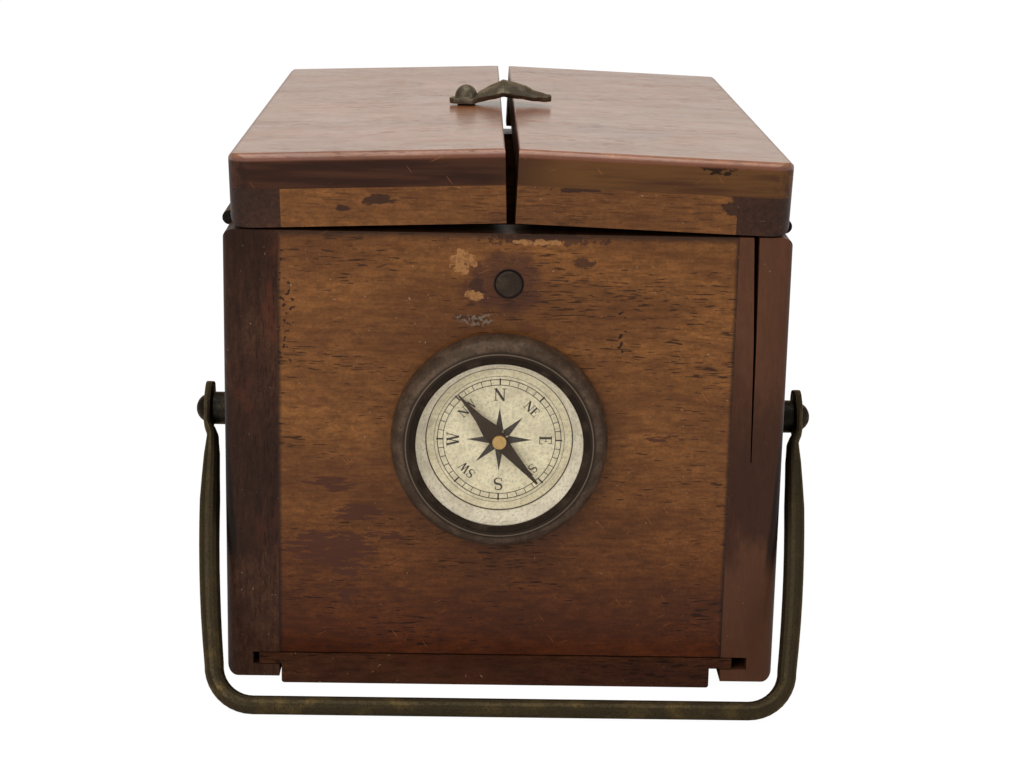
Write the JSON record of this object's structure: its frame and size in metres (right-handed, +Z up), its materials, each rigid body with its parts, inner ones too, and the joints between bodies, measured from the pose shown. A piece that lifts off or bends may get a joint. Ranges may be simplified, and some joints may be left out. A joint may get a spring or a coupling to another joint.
{
  "type": "handheld bearing compass",
  "caption": "Wooden box with a small magnetic compass let into its front, a hinged lid in two halves with a sighting slot, a sliding floor panel and a swinging wire bail.",
  "frame": {"origin": "middle of the face it stands on, the underside of the sliding floor panel, on the centre lines of the case", "axes": "+Z up; the compass face looks towards -Y; +X is to the right of someone facing the compass"},
  "size_m": [0.1146, 0.1543, 0.1027],
  "materials": {
    "wood_case": "worn shellac varnish over warm brown hardwood",
    "wood_side": "dark reddish brown hardwood with worn varnish",
    "wood_strip": "lighter ochre brown hardwood, worn",
    "old_brass": "dull patinated brass",
    "dark_bronze": "blackened brass",
    "black_ring": "blackened",
    "glass": "clear, slightly old",
    "dial_card": "printed silvered paper",
    "silvered": "aged silvered ring",
    "steel": "plain spring steel",
    "blued_steel": "dark blued steel",
    "cap_brass": "bright brass",
    "jewel": "red stone"
  },
  "bodies": {
    "case": {"side_left": "wood_side", "side_right": "wood_side", "front_board": "wood_case", "back_board": "wood_case", "case_hinge_leaves": "old_brass", "case_hinge_screws": "old_brass", "bail_bosses": "old_brass", "bail_screws": "old_brass", "compass_bowl": "old_brass", "bezel": "dark_bronze", "glass_ring": "black_ring", "glass": "glass", "reflector_ring": "silvered", "dial_plate": "dial_card", "spindle": "old_brass", "lock_ring": "old_brass", "button_bush": "old_brass", "button_spring": "steel", "lever_bracket": "old_brass", "lever_pin": "old_brass", "bracket_screws": "old_brass"},
    "floor": {"floor_panel": "wood_case"},
    "lid_left": {"lid_left_top": "wood_case", "lid_left_side": "wood_side", "lid_left_front": "wood_strip", "lid_left_back": "wood_strip", "lid_left_hinge_leaves": "old_brass", "lid_left_hinge_screws": "old_brass", "lid_left_hinge_pins": "old_brass", "latch_washer": "old_brass", "latch_screw": "old_brass"},
    "latch": {"latch": "old_brass"},
    "lid_right": {"lid_right_top": "wood_case", "lid_right_side": "wood_side", "lid_right_front": "wood_strip", "lid_right_back": "wood_strip", "lid_right_hinge_leaves": "old_brass", "lid_right_hinge_screws": "old_brass", "lid_right_hinge_pins": "old_brass"},
    "bail": {"bail": "old_brass"},
    "button": {"button": "dark_bronze"},
    "lever": {"arrest_lever": "old_brass"},
    "sleeve": {"lift_sleeve": "old_brass"},
    "needle": {"needle": "blued_steel", "needle_cap": "cap_brass", "cap_jewel": "jewel"}
  },
  "joints": [
    {"name": "lid_right_hinge", "type": "hinge", "parent": "case", "child": "lid_right", "pos_m": [0.0503, 0, 0.08497], "axis": [0, 1, 0], "range_deg": [-2, 176]},
    {"name": "lid_left_hinge", "type": "hinge", "parent": "case", "child": "lid_left", "pos_m": [-0.0503, 0, 0.08497], "axis": [0, -1, 0], "range_deg": [-2, 176]},
    {"name": "latch_swing", "type": "hinge", "parent": "lid_left", "child": "latch", "pos_m": [-0.008, -0.005, 0.10004], "axis": [-0.0349, 0, 0.9994], "range_deg": [-100, 100]},
    {"name": "bail_swing", "type": "hinge", "parent": "case", "child": "bail", "pos_m": [0, -0.0528, 0.0481], "axis": [1, 0, 0], "range_deg": [-120, 12]},
    {"name": "floor_slide", "type": "slide", "parent": "case", "child": "floor", "axis": [0, 1, 0], "range_m": [0, 0.12]},
    {"name": "button_press", "type": "slide", "parent": "case", "child": "button", "axis": [0, 1, 0], "range_m": [0, 0.0008], "stiffness_N_per_m": 300, "springref_m": -0.002, "deforming": ["button_spring"]},
    {"name": "lever_tilt", "type": "hinge", "parent": "case", "child": "lever", "pos_m": [-0.0004, -0.0582, 0.0627], "axis": [-1, 0, 0], "range_deg": [0, 3.6]},
    {"name": "needle_lift", "type": "slide", "parent": "case", "child": "sleeve", "axis": [0, -1, 0], "range_m": [0, 0.00095]},
    {"name": "needle_spin", "type": "hinge", "parent": "sleeve", "child": "needle", "pos_m": [-0.001, -0.0705, 0.04745], "axis": [0, 1, 0], "continuous": true}
  ],
  "couplings": [
    {"joint": "lid_left_hinge", "follows": "lid_right_hinge", "ratio": 1},
    {"joint": "lever_tilt", "follows": "button_press", "rad_per_m": 75.758},
    {"joint": "needle_lift", "follows": "button_press", "ratio": 1.1553}
  ]
}
